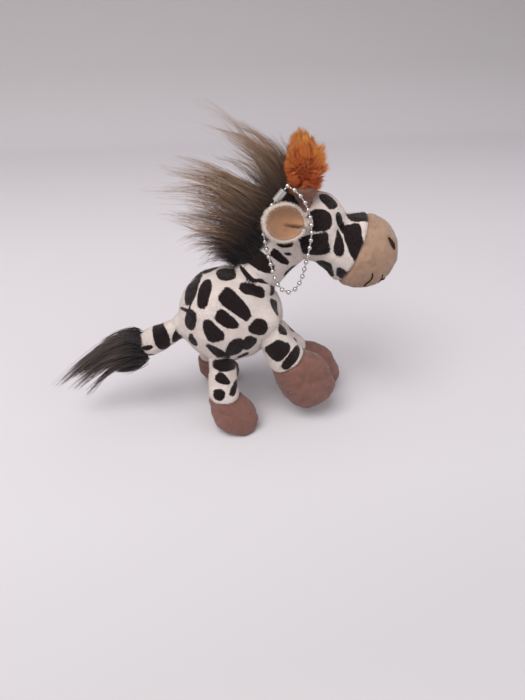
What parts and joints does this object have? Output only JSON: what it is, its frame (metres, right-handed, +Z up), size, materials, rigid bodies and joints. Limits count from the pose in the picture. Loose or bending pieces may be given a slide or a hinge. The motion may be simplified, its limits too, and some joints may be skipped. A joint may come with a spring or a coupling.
{
  "type": "plush giraffe keychain",
  "caption": "Stuffed plush giraffe with jointed neck, head, ears, legs and tail, a hair mane and tufts, hung from a ball chain loop.",
  "frame": {"origin": "centre of the ribbon's eye, where the ball chain carries the toy", "axes": "+X towards the muzzle, +Y to the giraffe's left, +Z up, with the body level as pictured"},
  "size_m": [0.1428, 0.0534, 0.1247],
  "materials": {
    "plush": "short pile, cream with printed dark brown patches",
    "muzzle": "short tan pile",
    "hoof": "short brown pile",
    "lining": "tan fleece",
    "mane": "long dark brown hair",
    "tuft": "orange long pile",
    "stalk": "brown short pile",
    "stuffing": "polyester fibre",
    "thread": "stitched thread",
    "eye": "gloss black",
    "ribbon": "woven ribbon",
    "steel": "nickel plated"
  },
  "bodies": {
    "torso": {"torso_cover": "plush", "torso_stuffing": "stuffing"},
    "neck": {"neck_cover": "plush", "neck_stuffing": "stuffing", "mane_neck": "mane"},
    "head": {"head_cover": "plush", "muzzle_cover": "muzzle", "head_stuffing": "stuffing", "eye_right": "eye", "eye_left": "eye", "nostril_stitches_right": "thread", "nostril_stitches_left": "thread", "mouth_stitches": "thread", "horn_stalk_right": "stalk", "horn_stalk_left": "stalk", "horn_tuft_right": "tuft", "horn_tuft_left": "tuft", "mane_crown": "mane", "hang_ribbon": "ribbon"},
    "ear_right": {"ear_right": "plush", "ear_lining_right": "lining"},
    "ear_left": {"ear_left": "plush", "ear_lining_left": "lining"},
    "front_right": {"front_right_leg_cover": "plush", "front_right_hoof": "hoof", "front_right_leg_stuffing": "stuffing"},
    "front_left": {"front_left_leg_cover": "plush", "front_left_hoof": "hoof", "front_left_leg_stuffing": "stuffing"},
    "rear_right": {"rear_right_leg_cover": "plush", "rear_right_hoof": "hoof", "rear_right_leg_stuffing": "stuffing"},
    "rear_left": {"rear_left_leg_cover": "plush", "rear_left_hoof": "hoof", "rear_left_leg_stuffing": "stuffing"},
    "tail": {"tail_cover": "plush", "tail_stuffing": "stuffing", "tail_tuft": "mane"},
    "chain": {"ball_chain": "steel"},
    "connector": {"chain_connector": "steel"}
  },
  "joints": [
    {"name": "neck_bend", "type": "hinge", "parent": "torso", "child": "neck", "pos_m": [-0.0004, 0.01128, -0.02425], "axis": [0, 1, 0], "range_deg": [-6, 12], "stiffness_Nm_per_rad": 0.1},
    {"name": "head_turn", "type": "hinge", "parent": "neck", "child": "head", "pos_m": [0.0165, 0.01128, -0.00785], "axis": [0.7176, 0, 0.6964], "range_deg": [-18, 18], "stiffness_Nm_per_rad": 0.08},
    {"name": "ear_right_flap", "type": "hinge", "parent": "head", "child": "ear_right", "pos_m": [0.01675, -0.00033, 0.00025], "axis": [0, 0, 1], "range_deg": [-1, 10], "stiffness_Nm_per_rad": 0.006},
    {"name": "ear_left_flap", "type": "hinge", "parent": "head", "child": "ear_left", "pos_m": [0.02203, 0.02451, 0.00025], "axis": [0, 0, 1], "range_deg": [-22, 12], "stiffness_Nm_per_rad": 0.006},
    {"name": "front_right_hip", "type": "hinge", "parent": "torso", "child": "front_right", "pos_m": [-0.0001, 0.00088, -0.04085], "axis": [0, 1, 0], "range_deg": [-16, 8], "stiffness_Nm_per_rad": 0.04},
    {"name": "front_left_hip", "type": "hinge", "parent": "torso", "child": "front_left", "pos_m": [0.0045, 0.01978, -0.05105], "axis": [0, 1, 0], "range_deg": [-16, 8], "stiffness_Nm_per_rad": 0.04},
    {"name": "rear_right_hip", "type": "hinge", "parent": "torso", "child": "rear_right", "pos_m": [-0.0177, 0.00148, -0.05125], "axis": [0, 1, 0], "range_deg": [-6, 16], "stiffness_Nm_per_rad": 0.04},
    {"name": "rear_left_hip", "type": "hinge", "parent": "torso", "child": "rear_left", "pos_m": [-0.0177, 0.02108, -0.05125], "axis": [0, 1, 0], "range_deg": [-6, 16], "stiffness_Nm_per_rad": 0.04},
    {"name": "tail_wag", "type": "hinge", "parent": "torso", "child": "tail", "pos_m": [-0.0315, 0.01128, -0.04545], "axis": [0, 0, 1], "range_deg": [-18, 18], "stiffness_Nm_per_rad": 0.03},
    {"name": "chain_swing", "type": "hinge", "parent": "head", "child": "chain", "pos_m": [0, 0, 0], "axis": [0, 1, 0], "range_deg": [-3, 4]},
    {"name": "connector_spin", "type": "hinge", "parent": "chain", "child": "connector", "pos_m": [0.0062, 0.00008, 0.01095], "axis": [0.6428, 0, 0.766], "continuous": true}
  ]
}
